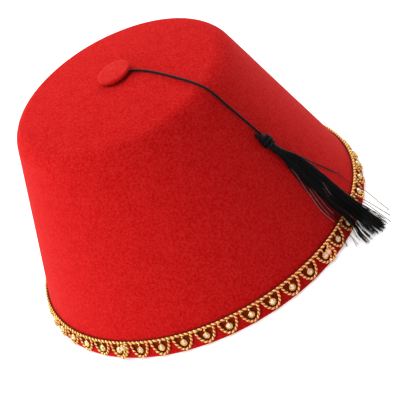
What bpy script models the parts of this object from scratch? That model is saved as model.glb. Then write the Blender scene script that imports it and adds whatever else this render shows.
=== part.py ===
"""A red felt fez: hollow crown, felt button, black cord and tassel, gold braid set with stones.

Metres, +Z up. The hat stands on its rim on the plane z = 0, with the origin at the rim's centre.
Azimuths are counted anticlockwise from +X, seen from above. The tassel falls near azimuth -45 degrees.
"""

import math

import bmesh
import bpy
from mathutils import Matrix, Vector

MM = 0.001

# Crown: a straight cone wall, a rounded shoulder and a low dome
RIM_RADIUS = 93.0 * MM
SHOULDER_RADIUS = 60.5 * MM      # where the wall line would meet the dome without rounding
SHOULDER_HEIGHT = 107.2 * MM
SHOULDER_ROUNDING = 11.7 * MM
CROWN_HEIGHT = 112.8 * MM
FELT_THICKNESS = 2.5 * MM
RIM_SOFTENING = 0.4 * MM
CROWN_LEAN = -1.5 * MM           # sideways drift of the soft crown along X at the shoulder
CROWN_STEPS = 46

# Button: a felt disc lying on the cord where it leaves the crown
BUTTON_RADIUS = 9.5 * MM
BUTTON_THICKNESS = 2.2 * MM
BUTTON_BEVEL = 0.5 * MM
BUTTON_SIDES = 20
BUTTON_LIFT = 1.6 * MM           # height of its underside's centre above the dome
BUTTON_SHIFT = 1.0 * MM          # its centre's place along X from the dome's top
BUTTON_NORMAL = Vector((-0.06, -0.025, 1.0))

# Braid: a header cord, one loop for each stone, a stem and a cup
SCALLOPS = 46
FIRST_STONE = math.radians(-56.9)
HEADER_UP = 9.7 * MM             # distances along the wall from the rim
STONE_UP = 5.3 * MM
LOOP_LOW = 2.1 * MM
HEADER_CORD = 0.8 * MM           # radii
LOOP_CORD = 0.68 * MM
STEM_CORD = 0.45 * MM
CUP_RADIUS = 2.0 * MM
CUP_HEIGHT = 1.9 * MM
STONE_BEVEL = 0.65 * MM
CUP_SIDES = 8
LOOP_STEPS = 5
LOOP_GAP = 0.12 * MM             # between neighbouring loops at the header
BRAID_GAP = 0.3 * MM             # between the felt and the braid
LAP_LIFT = 1.1 * MM              # how far a lapped end stands over the loop below
LAP_SHIFT = math.radians(1.6)
# The braid is sewn on in two lengths, and each meeting place has a second loop lapped over this one
LAPS = {"lap_right": 0, "lap_left": -10}

# Cord and tassel
CORD_RADIUS = 0.75 * MM
CORD_SPACING = 3.4 * MM
SIDES_8 = 2                      # bevel_resolution of tubes with eight, six and four sides
SIDES_6 = 1
SIDES_4 = 0
LOCK_RADIUS = 1.55 * MM
THIN_LOCK_RADIUS = 0.75 * MM
SKIRT_TURN_HEIGHT = 18.0 * MM    # below this the fanned skirt turns from the wall's face to the floor's

# The cord's middle line in millimetres, from under the button to the tassel's head
CORD_ROUTE = (
    (-0.6, 0.8, 113.6),
    (3.6, -0.8, 113.6),
    (7.9, -3.8, 113.6),
    (12.8, -9.0, 113.5),
    (18.2, -16.6, 112.9),
    (23.2, -24.6, 112.1),
    (27.8, -32.0, 111.1),
    (31.6, -38.3, 110.1),
    (34.6, -43.2, 108.8),
    (36.9, -46.6, 106.4),
    (38.7, -48.4, 102.9),
    (40.7, -49.2, 97.2),
    (43.2, -49.8, 90.4),
    (45.7, -50.5, 83.7),
    (48.0, -51.1, 77.4),
    (50.0, -52.1, 72.3),
)

# The skirt's middle line: place in millimetres and how far its locks are fanned there, from 0 to 1
SKIRT_LINE = (
    {"place": (52.6, -54.3, 64.4), "fan": 0.10},
    {"place": (53.8, -54.3, 61.2), "fan": 0.16},
    {"place": (55.8, -54.5, 55.4), "fan": 0.38},
    {"place": (58.1, -54.7, 49.8), "fan": 0.62},
    {"place": (61.3, -55.2, 41.6), "fan": 0.84},
    {"place": (65.4, -56.2, 30.4), "fan": 0.92},
    {"place": (70.0, -57.4, 18.6), "fan": 0.97},
    {"place": (73.9, -59.2, 10.8), "fan": 1.0},
    {"place": (76.3, -61.4, 6.0), "fan": 1.0},
    {"place": (78.3, -64.7, 2.9), "fan": 1.0},
    {"place": (80.4, -69.4, 1.8), "fan": 1.0},
    {"place": (82.2, -74.0, 1.7), "fan": 1.0},
)

# Each lock of the skirt: sideways place where it is fanned out, and how much longer it is than the line
LOCKS = (
    {"side": 5.4, "longer": 0.2, "radius": LOCK_RADIUS},
    {"side": 2.8, "longer": 1.8, "radius": LOCK_RADIUS},
    {"side": 0.2, "longer": 1.2, "radius": LOCK_RADIUS},
    {"side": -2.4, "longer": 2.4, "radius": LOCK_RADIUS},
    {"side": -5.0, "longer": 1.4, "radius": LOCK_RADIUS},
    {"side": -8.4, "longer": 2.6, "radius": THIN_LOCK_RADIUS},
    {"side": -11.2, "longer": 1.6, "radius": THIN_LOCK_RADIUS},
)
LOCK_TAPER = (0.75, 0.9, 0.95, 1.0, 1.0, 1.0, 1.0, 0.95, 0.9, 0.85, 0.8, 0.62)

# The head and the stub of its knot: middle line and radius in millimetres
HEAD_LINE = (
    {"place": (50.12, -52.2, 72.0), "radius": 1.1},
    {"place": (50.5, -53.5, 70.6), "radius": 2.3},
    {"place": (51.2, -54.5, 68.2), "radius": 3.0},
    {"place": (51.8, -54.6, 66.2), "radius": 2.6},
    {"place": (52.7, -54.4, 63.8), "radius": 2.0},
    {"place": (54.0, -54.3, 60.2), "radius": 1.8},
)
STUB_LINE = (
    {"place": (46.6, -54.8, 73.6), "radius": 0.9},
    {"place": (48.9, -54.4, 71.6), "radius": 1.15},
    {"place": (51.0, -54.3, 69.0), "radius": 1.2},
)

MATERIALS = {
    "red_felt": {"color": (0.69, 0.018, 0.016), "roughness": 0.95, "metallic": 0.0},
    "gold_braid": {"color": (0.83, 0.50, 0.20), "roughness": 0.35, "metallic": 0.8},
    "black_thread": {"color": (0.008, 0.008, 0.009), "roughness": 0.55, "metallic": 0.0},
}

CURVE_STEPS = 24                 # samples between two points of a smooth route
FLAT_ANGLE = math.radians(1.0)   # folds flatter than this are tidied away after a union
SHARP_ANGLE = math.radians(40.0)

WALL_ANGLE = math.atan2(RIM_RADIUS - SHOULDER_RADIUS, SHOULDER_HEIGHT)


# ---------------------------------------------------------------- scene and helpers

def empty_scene():
    for found in list(bpy.data.objects):
        bpy.data.objects.remove(found, do_unlink=True)


def new_collection(name):
    collection = bpy.data.collections.new(name)
    bpy.context.scene.collection.children.link(collection)
    return collection


def make_material(name):
    values = MATERIALS[name]
    material = bpy.data.materials.new(name)
    material.use_nodes = True
    shader = material.node_tree.nodes["Principled BSDF"]
    shader.inputs["Base Color"].default_value = (*values["color"], 1.0)
    shader.inputs["Roughness"].default_value = values["roughness"]
    shader.inputs["Metallic"].default_value = values["metallic"]
    return material


def mesh_object(name, mesh):
    made = bpy.data.objects.new(name, mesh)
    bpy.context.scene.collection.objects.link(made)
    return made


def bmesh_object(name, shape):
    mesh = bpy.data.meshes.new(name)
    shape.to_mesh(mesh)
    shape.free()
    return mesh_object(name, mesh)


def settled(source):
    """Turn an object with modifiers, or a curve, into a plain welded mesh object of the same name."""
    bpy.context.view_layer.update()
    evaluated = source.evaluated_get(bpy.context.evaluated_depsgraph_get())
    mesh = bpy.data.meshes.new_from_object(evaluated)
    name = source.name
    place = source.matrix_world.copy()
    bpy.data.objects.remove(source, do_unlink=True)
    shape = bmesh.new()
    shape.from_mesh(mesh)
    bmesh.ops.remove_doubles(shape, verts=shape.verts, dist=0.01 * MM)
    shape.to_mesh(mesh)
    shape.free()
    made = mesh_object(name, mesh)
    made.matrix_world = place
    return made


def tubes(name, lines, sides, closed=False):
    """Tubes along lines of (point, radius) pairs, as one mesh of separate closed bodies."""
    curve = bpy.data.curves.new(name, "CURVE")
    curve.dimensions = "3D"
    curve.bevel_depth = 1.0
    curve.bevel_resolution = sides
    curve.use_fill_caps = True
    for line in lines:
        spline = curve.splines.new("POLY")
        spline.points.add(len(line) - 1)
        spline.use_cyclic_u = closed
        for point, (place, radius) in zip(spline.points, line):
            point.co = (*place, 1.0)
            point.radius = radius
    return settled(mesh_object(name, curve))


def fuse(base, pieces):
    """Join overlapping closed meshes into one body."""
    joined = new_collection(base.name + "_pieces")
    for piece in pieces:
        bpy.context.scene.collection.objects.unlink(piece)
        joined.objects.link(piece)
    modifier = base.modifiers.new("fuse", "BOOLEAN")
    modifier.operation = "UNION"
    modifier.operand_type = "COLLECTION"
    modifier.collection = joined
    modifier.solver = "EXACT"
    made = settled(base)
    shape = bmesh.new()
    shape.from_mesh(made.data)
    bmesh.ops.dissolve_limit(shape, angle_limit=FLAT_ANGLE, verts=shape.verts, edges=shape.edges)
    shape.to_mesh(made.data)
    shape.free()
    for piece in pieces:
        bpy.data.objects.remove(piece, do_unlink=True)
    bpy.data.collections.remove(joined)
    return made


def smooth_points(route, spacing):
    """Points about spacing apart on a Catmull-Rom curve through the route."""
    places = [Vector(place) * MM for place in route]
    places = [2 * places[0] - places[1], *places, 2 * places[-1] - places[-2]]
    samples = []
    for before, start, end, after in zip(places, places[1:], places[2:], places[3:]):
        for step in range(CURVE_STEPS):
            t = step / CURVE_STEPS
            samples.append(0.5 * (2 * start + (end - before) * t
                                  + (2 * before - 5 * start + 4 * end - after) * t ** 2
                                  + (3 * start - before - 3 * end + after) * t ** 3))
    samples.append(places[-2])
    travelled = [0.0]
    for start, end in zip(samples, samples[1:]):
        travelled.append(travelled[-1] + (end - start).length)
    count = round(travelled[-1] / spacing)
    wanted = [travelled[-1] * index / count for index in range(count + 1)]
    return [samples[min(range(len(samples)), key=lambda i: abs(travelled[i] - along))] for along in wanted]


def lean(place):
    """Sideways drift of the crown at the height of this place."""
    return place + Vector((CROWN_LEAN * place.z / SHOULDER_HEIGHT, 0.0, 0.0))


def on_wall(azimuth, up, out):
    """A place at a distance up the wall from the rim and out from its face."""
    radius = RIM_RADIUS - up * math.sin(WALL_ANGLE) + out * math.cos(WALL_ANGLE)
    height = up * math.cos(WALL_ANGLE) + out * math.sin(WALL_ANGLE)
    return lean(Vector((radius * math.cos(azimuth), radius * math.sin(azimuth), height)))


# ---------------------------------------------------------------- crown

def crown_line(inset, dome_steps, rounding_steps):
    """(radius, height) from the dome's top out and down to the wall, moved inwards by inset."""
    rise = CROWN_HEIGHT - SHOULDER_HEIGHT
    dome_radius = (SHOULDER_RADIUS ** 2 + rise ** 2) / (2 * rise)
    dome_centre = CROWN_HEIGHT - dome_radius
    along = Vector((-math.sin(WALL_ANGLE), math.cos(WALL_ANGLE)))
    inward = Vector((-along.y, along.x))
    # the rounding's centre lies on the wall line and on the dome, both moved in by the rounding
    start = Vector((RIM_RADIUS, -dome_centre)) + inward * SHOULDER_ROUNDING
    middle = start.dot(along)
    reach = math.sqrt(middle ** 2 - start.dot(start) + (dome_radius - SHOULDER_ROUNDING) ** 2)
    centre = start + along * (reach - middle)
    first = math.atan2(centre.y, centre.x)
    last = math.atan2(-inward.y, -inward.x)
    dome_edge = math.pi / 2 - first
    line = []
    for step in range(dome_steps):
        angle = dome_edge * step / dome_steps
        line.append(((dome_radius - inset) * math.sin(angle),
                     dome_centre + (dome_radius - inset) * math.cos(angle)))
    for step in range(rounding_steps + 1):
        angle = first + (last - first) * step / rounding_steps
        line.append((centre.x + (SHOULDER_ROUNDING - inset) * math.cos(angle),
                     dome_centre + centre.y + (SHOULDER_ROUNDING - inset) * math.sin(angle)))
    return line


def wall_radius(height, inset):
    return RIM_RADIUS - height * math.tan(WALL_ANGLE) - inset / math.cos(WALL_ANGLE)


def make_crown():
    outside = crown_line(0.0, dome_steps=4, rounding_steps=5)
    inside = crown_line(FELT_THICKNESS, dome_steps=2, rounding_steps=3)
    rim = [
        (wall_radius(RIM_SOFTENING, 0.0), RIM_SOFTENING),
        (wall_radius(0.0, RIM_SOFTENING), 0.0),
        (wall_radius(0.0, FELT_THICKNESS - RIM_SOFTENING), 0.0),
        (wall_radius(RIM_SOFTENING, FELT_THICKNESS), RIM_SOFTENING),
    ]
    section = outside + rim + inside[::-1]
    shape = bmesh.new()
    corners = [shape.verts.new((radius, 0.0, height)) for radius, height in section]
    for start, end in zip(corners, corners[1:]):
        shape.edges.new((start, end))
    profile = bmesh_object("felt_crown", shape)
    screw = profile.modifiers.new("turn", "SCREW")
    screw.steps = CROWN_STEPS
    screw.render_steps = CROWN_STEPS
    screw.use_merge_vertices = True
    screw.merge_threshold = 0.01 * MM
    crown = settled(profile)
    for corner in crown.data.vertices:
        corner.co = lean(corner.co)
    return crown


# ---------------------------------------------------------------- button

def make_button():
    normal = BUTTON_NORMAL.normalized()
    underside = Vector((CROWN_LEAN + BUTTON_SHIFT, 0.0, CROWN_HEIGHT + BUTTON_LIFT))
    centre = underside + normal * BUTTON_THICKNESS / 2
    shape = bmesh.new()
    bmesh.ops.create_cone(shape, cap_ends=True, segments=BUTTON_SIDES, radius1=BUTTON_RADIUS,
                          radius2=BUTTON_RADIUS, depth=BUTTON_THICKNESS)
    rims = [edge for edge in shape.edges if abs(edge.verts[0].co.z - edge.verts[1].co.z) < 0.01 * MM]
    bmesh.ops.bevel(shape, geom=rims, offset=BUTTON_BEVEL, segments=1, affect="EDGES")
    button = bmesh_object("top_button", shape)
    button.matrix_world = Matrix.Translation(centre) @ normal.to_track_quat("Z", "Y").to_matrix().to_4x4()
    return button


# ---------------------------------------------------------------- braid

def loop_line(azimuth, out):
    """A hanging loop from the header down and back up, as half an ellipse."""
    half_width = math.pi * RIM_RADIUS / SCALLOPS - LOOP_CORD - LOOP_GAP / 2
    depth = HEADER_UP - LOOP_LOW
    line = []
    for step in range(LOOP_STEPS + 1):
        turn = math.pi * step / LOOP_STEPS
        up = HEADER_UP - depth * math.sin(turn)
        place = on_wall(azimuth - half_width * math.cos(turn) / RIM_RADIUS, up, out)
        line.append((place, LOOP_CORD))
    return line


def stem_line(azimuth, out):
    return [(on_wall(azimuth, up, out), STEM_CORD) for up in (HEADER_UP, STONE_UP)]


def add_stone(shape, azimuth, up, out):
    """An eight-sided cup and the cut stone in it, with eight facets round a flat table."""
    lift = Matrix.Translation((0.0, 0.0, CUP_HEIGHT / 2))
    tilt = Matrix.Rotation(math.pi / 2 - WALL_ANGLE, 4, "Y")
    turn = Matrix.Rotation(azimuth, 4, "Z")
    place = Matrix.Translation(on_wall(azimuth, up, out)) @ turn @ tilt
    made = bmesh.ops.create_cone(shape, cap_ends=True, segments=CUP_SIDES, radius1=CUP_RADIUS,
                                 radius2=CUP_RADIUS, depth=CUP_HEIGHT, matrix=lift)
    table = [edge for edge in shape.edges
             if all(corner in made["verts"] and corner.co.z > CUP_HEIGHT / 2 for corner in edge.verts)]
    bevel = bmesh.ops.bevel(shape, geom=table, offset=STONE_BEVEL, segments=1, affect="EDGES")
    corners = {corner for face in bevel["faces"] for edge in face.edges for corner in edge.verts}
    corners.update(corner for corner in made["verts"] if corner.is_valid)
    bmesh.ops.transform(shape, matrix=place, verts=list(corners))


def make_braid():
    azimuths = [FIRST_STONE + math.tau * index / SCALLOPS for index in range(SCALLOPS)]
    loop_out = BRAID_GAP + LOOP_CORD
    header_out = BRAID_GAP + HEADER_CORD
    quarter = math.tau / SCALLOPS / 4
    header = [(on_wall(azimuth + quarter, HEADER_UP, header_out), HEADER_CORD) for azimuth in azimuths]
    braid = tubes("stone_braid", [header], SIDES_6, closed=True)
    loops = tubes("loops", [loop_line(azimuth, loop_out) for azimuth in azimuths], SIDES_6)
    stems = tubes("stems", [stem_line(azimuth, loop_out) for azimuth in azimuths], SIDES_4)
    stones = bmesh.new()
    for azimuth in azimuths:
        add_stone(stones, azimuth, STONE_UP, BRAID_GAP)
    pieces = [loops, stems, bmesh_object("stones", stones)]
    for name, index in LAPS.items():
        azimuth = FIRST_STONE + math.tau * index / SCALLOPS + LAP_SHIFT
        pieces.append(tubes(name, [loop_line(azimuth, loop_out + LAP_LIFT)], SIDES_6))
    return fuse(braid, pieces)


# ---------------------------------------------------------------- cord and tassel

def make_cord():
    line = [(place, CORD_RADIUS) for place in smooth_points(CORD_ROUTE, CORD_SPACING)]
    return tubes("tassel_cord", [line], SIDES_8)


def skirt_lock(lock):
    """One tapered lock beside the skirt's middle line."""
    places = [Vector(row["place"]) * MM for row in SKIRT_LINE]
    places[-1] = places[-1] + (places[-1] - places[-2]).normalized() * lock["longer"] * MM
    line = []
    for index, (row, place) in enumerate(zip(SKIRT_LINE, places)):
        ahead = places[min(index + 1, len(places) - 1)] - places[max(index - 1, 0)]
        wall_face = Vector((place.x, place.y, RIM_RADIUS * math.tan(WALL_ANGLE))).normalized()
        on_floor = 1.0 - min(1.0, place.z / SKIRT_TURN_HEIGHT)
        sideways = wall_face.lerp(Vector((0.0, 0.0, 1.0)), on_floor).cross(ahead).normalized()
        aside = place + sideways * lock["side"] * row["fan"] * MM
        line.append((aside, lock["radius"] * LOCK_TAPER[index]))
    return line


def make_tassel():
    head = [(Vector(row["place"]) * MM, row["radius"] * MM) for row in HEAD_LINE]
    stub = [(Vector(row["place"]) * MM, row["radius"] * MM) for row in STUB_LINE]
    tassel = tubes("tassel", [head], SIDES_8)
    pieces = [tubes("stub", [stub], SIDES_6)]
    for index, lock in enumerate(LOCKS):
        pieces.append(tubes(f"lock_{index}", [skirt_lock(lock)], SIDES_6))
    return fuse(tassel, pieces)


# ---------------------------------------------------------------- build

def main():
    empty_scene()
    parts = new_collection("fez_hat")
    finishes = {name: make_material(name) for name in MATERIALS}
    made = (
        (make_crown(), "red_felt"),
        (make_button(), "red_felt"),
        (make_braid(), "gold_braid"),
        (make_cord(), "black_thread"),
        (make_tassel(), "black_thread"),
    )
    for part, finish in made:
        bpy.context.scene.collection.objects.unlink(part)
        parts.objects.link(part)
        part.data.materials.clear()
        part.data.materials.append(finishes[finish])
        part.data.shade_smooth()
        part.data.set_sharp_from_angle(angle=SHARP_ANGLE)


main()
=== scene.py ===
import math
import random

import bmesh
import bpy
from mathutils import Matrix, Vector


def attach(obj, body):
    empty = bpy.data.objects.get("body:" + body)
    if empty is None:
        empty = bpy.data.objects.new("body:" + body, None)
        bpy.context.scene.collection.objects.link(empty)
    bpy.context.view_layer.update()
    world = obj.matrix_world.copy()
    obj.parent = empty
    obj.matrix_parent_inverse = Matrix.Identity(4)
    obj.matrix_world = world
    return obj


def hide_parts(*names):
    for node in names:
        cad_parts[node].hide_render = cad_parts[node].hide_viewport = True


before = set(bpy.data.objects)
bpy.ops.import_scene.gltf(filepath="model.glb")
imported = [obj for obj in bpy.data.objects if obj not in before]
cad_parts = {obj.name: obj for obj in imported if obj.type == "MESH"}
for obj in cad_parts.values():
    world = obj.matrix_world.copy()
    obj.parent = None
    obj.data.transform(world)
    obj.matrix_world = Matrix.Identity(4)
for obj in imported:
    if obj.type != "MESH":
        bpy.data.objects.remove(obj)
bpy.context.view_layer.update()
mm = 0.001
weld = 0.01 * mm                 # corners closer than this become one
print("frame loaded:", ", ".join(sorted(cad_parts)))


# Camera: it looks at the rim's centre from the front, and the hat leans in the picture by the roll

camera = {
    "imageSide": 400,            # pixels
    "rimRadius": 93.0,           # mm, the unit of the next distances
    "elevation": 32.05,          # degrees above the floor
    "roll": 28.37,
    "distance": 12.0,            # in rim radii
    "pixelsPerRadius": 170.4,
    "aside": -0.0772,            # the rim's centre in the picture, in rim radii
    "above": -0.2034,
    "sensor": 36.0,              # mm
}


def makeCamera():
    radius = camera["rimRadius"] * mm
    elevation = math.radians(camera["elevation"])
    roll = math.radians(camera["roll"])
    back = Vector((0.0, -math.cos(elevation), math.sin(elevation)))
    right = Vector((1.0, 0.0, 0.0))
    up = Vector((0.0, math.sin(elevation), math.cos(elevation)))
    place = (back * camera["distance"] - right * camera["aside"] - up * camera["above"]) * radius
    data = bpy.data.cameras.new("photoCamera")
    data.sensor_width = camera["sensor"]
    data.lens = camera["pixelsPerRadius"] * camera["distance"] / camera["imageSide"] * camera["sensor"]
    data.clip_start = 0.01
    data.clip_end = 100.0
    made = bpy.data.objects.new("photoCamera", data)
    turned = Matrix((right * math.cos(roll) - up * math.sin(roll),
                     right * math.sin(roll) + up * math.cos(roll), back)).transposed()
    made.matrix_world = Matrix.Translation(place) @ turned.to_4x4()
    bpy.context.scene.collection.objects.link(made)
    bpy.context.scene.camera = made


makeCamera()
print("camera placed")


# Small helpers for node trees: feeds maps an input, by name or number, to an output or a plain value

def addNode(tree, kind, feeds=None, **settings):
    made = tree.nodes.new(kind)
    for key, value in settings.items():
        setattr(made, key, value)
    for key, value in (feeds or {}).items():
        target = made.inputs[key]
        if isinstance(value, bpy.types.NodeSocket):
            tree.links.new(value, target)
        else:
            target.default_value = value
    return made


def maths(tree, operation, first, second=0.0):
    return addNode(tree, "ShaderNodeMath", {0: first, 1: second}, operation=operation).outputs[0]


def plus(tree, first, second):
    return maths(tree, "ADD", first, second)


def minus(tree, first, second):
    return maths(tree, "SUBTRACT", first, second)


def times(tree, first, second):
    return maths(tree, "MULTIPLY", first, second)


def over(tree, first, second):
    return maths(tree, "DIVIDE", first, second)


# From the numbers start to end onto the numbers low to high
def mapped(tree, value, start=0.0, end=1.0, low=0.0, high=1.0):
    feeds = {"Value": value, "From Min": start, "From Max": end, "To Min": low, "To Max": high}
    return addNode(tree, "ShaderNodeMapRange", feeds).outputs[0]


def scaledVector(tree, vector, amount):
    feeds = {0: vector, "Scale": amount}
    return addNode(tree, "ShaderNodeVectorMath", feeds, operation="SCALE").outputs[0]


def vectorMaths(tree, operation, first, second):
    return addNode(tree, "ShaderNodeVectorMath", {0: first, 1: second}, operation=operation).outputs[0]


def combined(tree, x, y, z):
    return addNode(tree, "ShaderNodeCombineXYZ", {0: x, 1: y, 2: z}).outputs[0]


def separated(tree, vector):
    return addNode(tree, "ShaderNodeSeparateXYZ", {0: vector}).outputs


def objectPlace(tree):
    return addNode(tree, "ShaderNodeTexCoord").outputs["Object"]


# What the geometry keeps under a name, as a material sees it
def kept(tree, label):
    return addNode(tree, "ShaderNodeAttribute", attribute_name=label).outputs["Fac"]


def noise(tree, place, scale, detail=2.0, roughness=0.5, distortion=0.0):
    return addNode(tree, "ShaderNodeTexNoise", {
        "Vector": place, "Scale": scale, "Detail": detail, "Roughness": roughness,
        "Distortion": distortion}).outputs


# The first output of a new geometry node
def geometryNode(tree, kind, feeds=None, **settings):
    return addNode(tree, "GeometryNode" + kind, feeds, **settings).outputs[0]


def startTree(name, inputs):
    tree = bpy.data.node_groups.new(name, "GeometryNodeTree")
    tree.interface.new_socket("Geometry", in_out="INPUT", socket_type="NodeSocketGeometry")
    tree.interface.new_socket("Geometry", in_out="OUTPUT", socket_type="NodeSocketGeometry")
    for label, kind in inputs.items():
        tree.interface.new_socket(label, in_out="INPUT", socket_type="NodeSocket" + kind)
    return tree, tree.nodes.new("NodeGroupInput").outputs


def endTree(tree, geometry, material, smooth=True):
    if smooth:
        geometry = geometryNode(tree, "SetShadeSmooth", {"Geometry": geometry})
    whole = geometryNode(tree, "RealizeInstances", {"Geometry": geometry})
    painted = geometryNode(tree, "SetMaterial", {"Geometry": whole, "Material": material})
    tree.links.new(painted, tree.nodes.new("NodeGroupOutput").inputs[0])


def stored(tree, geometry, label, value, kind="FLOAT", domain="POINT"):
    feeds = {"Geometry": geometry, "Name": label, "Value": value}
    return geometryNode(tree, "StoreNamedAttribute", feeds, data_type=kind, domain=domain)


def named(tree, label, kind="FLOAT"):
    return geometryNode(tree, "InputNamedAttribute", {"Name": label}, data_type=kind)


def linked(name, data):
    made = bpy.data.objects.new(name, data)
    bpy.context.scene.collection.objects.link(made)
    return made


def finished(name, shape, material=None, smooth=False):
    mesh = bpy.data.meshes.new(name)
    shape.to_mesh(mesh)
    shape.free()
    if smooth:
        mesh.shade_smooth()
    if material:
        mesh.materials.append(material)
    return linked(name, mesh)


# A solid turned from its section, whose places are (across, up) in millimetres
def turnedShape(section, steps):
    shape = bmesh.new()
    corners = [shape.verts.new((across * mm, 0.0, up * mm)) for across, up in section]
    edges = [shape.edges.new(pair) for pair in zip(corners, corners[1:])]
    bmesh.ops.spin(shape, geom=corners + edges, cent=(0, 0, 0), axis=(0, 0, 1), angle=math.tau,
                   steps=steps, use_merge=True, use_duplicate=False)
    bmesh.ops.remove_doubles(shape, verts=shape.verts, dist=weld)
    bmesh.ops.recalc_face_normals(shape, faces=shape.faces)
    return shape


# Runs a tree on a source object and leaves one plain mesh in its place
def grown(name, source, tree, values):
    modifier = source.modifiers.new(tree.name, "NODES")
    modifier.node_group = tree
    for item in tree.interface.items_tree:
        if item.in_out == "INPUT" and item.name in values:
            modifier[item.identifier] = values[item.name]
    source.update_tag()
    bpy.context.view_layer.update()
    evaluated = source.evaluated_get(bpy.context.evaluated_depsgraph_get())
    mesh = bpy.data.meshes.new_from_object(evaluated)
    mesh.name = name
    source.modifiers.remove(modifier)
    bpy.data.objects.remove(source, do_unlink=True)
    return linked(name, mesh)


# Lines of points as bare edges, with vector or number attributes on their points
def guideLines(name, lines, closed=False, notes=None):
    mesh = bpy.data.meshes.new(name)
    points = [point for line in lines for point in line]
    edges = []
    first = 0
    for line in lines:
        last = first + len(line) - 1
        edges += [(index, index + 1) for index in range(first, last)]
        if closed:
            edges.append((last, first))
        first = last + 1
    mesh.from_pydata(points, edges, [])
    for label, values in (notes or {}).items():
        isVector = isinstance(values[0], Vector)
        attribute = mesh.attributes.new(label, "FLOAT_VECTOR" if isVector else "FLOAT", "POINT")
        for item, value in zip(attribute.data, values):
            if isVector:
                item.vector = value
            else:
                item.value = value
    return linked(name, mesh)


# A Catmull-Rom curve through evenly spaced numbers or vectors
def between(values, share):
    along = share * (len(values) - 1)
    index = min(int(along), len(values) - 2)
    t = along - index
    start, end = values[index], values[index + 1]
    before = values[index - 1] if index else 2 * start - end
    after = values[index + 2] if index + 2 < len(values) else 2 * end - start
    return 0.5 * (2 * start + (end - before) * t + (2 * before - 5 * start + 4 * end - after) * t ** 2
                  + (3 * start - before - 3 * end + after) * t ** 3)


# The way that a curve goes at a share of its length
def wayAhead(values, share, step):
    return between(values, min(1.0, share + step)) - between(values, max(0.0, share - step))


# Points evenly spaced along the curve through a route in millimetres
def smoothPoints(route, spacing=1.0, fineness=24):
    places = [Vector(place) * mm for place in route]
    steps = fineness * (len(places) - 1)
    samples = [between(places, step / steps) for step in range(steps + 1)]
    travelled = [0.0]
    for start, end in zip(samples, samples[1:]):
        travelled.append(travelled[-1] + (end - start).length)
    count = max(2, round(travelled[-1] / (spacing * mm)))
    evenly = []
    index = 0
    for step in range(count + 1):
        along = travelled[-1] * step / count
        while index < len(samples) - 2 and travelled[index + 1] < along:
            index += 1
        share = (along - travelled[index]) / (travelled[index + 1] - travelled[index])
        evenly.append(samples[index].lerp(samples[index + 1], min(1.0, share)))
    return evenly


# Shader groups that more than one material uses

def startGroup(name, inputs, outputs):
    group = bpy.data.node_groups.new(name, "ShaderNodeTree")
    for label, (kind, value) in inputs.items():
        socket = group.interface.new_socket(label, in_out="INPUT", socket_type="NodeSocket" + kind)
        socket.default_value = value
    for label, kind in outputs.items():
        group.interface.new_socket(label, in_out="OUTPUT", socket_type="NodeSocket" + kind)
    return group, group.nodes.new("NodeGroupInput").outputs, group.nodes.new("NodeGroupOutput").inputs


def colorMix(tree, factor, first, second):
    feeds = {0: factor, 6: first, 7: second}
    return addNode(tree, "ShaderNodeMix", feeds, data_type="RGBA").outputs[2]


felt = {
    "dark": (0.462, 0.0002, 0.0006, 1.0),
    "light": (0.582, 0.0134, 0.0126, 1.0),
    "napSize": 1.15,             # mm
    "cloudSize": 7.0,
    "fibreTurns": ((0.2, 0.5, 0.6), (0.9, 0.3, 2.2), (2.1, 1.1, 1.2)),  # radians
    "fibreScale": (4.4, 1.1, 1.6),  # finest across the fibres
    "napShare": 0.45,            # how much of the tone each of them makes
    "cloudShare": 0.07,
    "fibreShare": 0.48,
    "middleTone": 0.54,
    "steepness": 3.0,            # how fast the colour goes from dark to light
    "contrast": (2.3, 3.6),      # on the wall and on the flat top
    "topStarts": (98.0, 111.0),  # mm up
    "bump": 0.2,                 # mm
    "bumpStrength": 0.9,
    "sheen": 0.14,
    "sheenTint": (1.0, 0.14, 0.12, 1.0),
    "buttonSheen": 0.7,
    # painted light: how much lighter the button's copy of the felt is painted
    "buttonPaintedLight": 0.03,
    "paling": 0.05,              # how much of that goes to green and blue
}


# Matted wool: clouds of tone, short crossing fibres and a fine nap
def makeFeltGrain():
    group, fed, out = startGroup(
        "feltGrain",
        {"Dark": ("Color", (0.5, 0.01, 0.01, 1.0)), "Light": ("Color", (0.8, 0.03, 0.03, 1.0)),
         "Nap size": ("Float", 1.2), "Cloud size": ("Float", 6.0), "Contrast": ("Float", 1.0)},
        {"Color": "Color", "Height": "Float"})
    inMillimetres = scaledVector(group, objectPlace(group), 1 / mm)
    nap = noise(group, inMillimetres, over(group, 1.0, fed["Nap size"]), detail=3.0, roughness=0.6)["Fac"]
    clouds = noise(group, inMillimetres, over(group, 1.0, fed["Cloud size"]))["Fac"]
    # fibres: noise stretched along three ways that cross
    fibres = []
    for turn in felt["fibreTurns"]:
        feeds = {"Vector": inMillimetres, "Rotation": turn, "Scale": felt["fibreScale"]}
        way = addNode(group, "ShaderNodeMapping", feeds).outputs[0]
        fibres.append(noise(group, way, scale=1.0, distortion=0.9)["Fac"])
    fibre = maths(group, "MAXIMUM", maths(group, "MAXIMUM", fibres[0], fibres[1]), fibres[2])
    coarse = times(group, clouds, felt["cloudShare"])
    tone = plus(group, times(group, nap, felt["napShare"]),
                plus(group, coarse, times(group, fibre, felt["fibreShare"])))
    centred = times(group, minus(group, tone, felt["middleTone"]), fed["Contrast"])
    factor = addNode(group, "ShaderNodeMath", {0: centred, 1: felt["steepness"], 2: 0.5},
                     operation="MULTIPLY_ADD", use_clamp=True).outputs[0]
    group.links.new(colorMix(group, factor, fed["Dark"], fed["Light"]), out["Color"])
    height = plus(group, times(group, nap, 0.5), times(group, fibre, 0.5))
    group.links.new(height, out["Height"])
    return group


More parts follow.
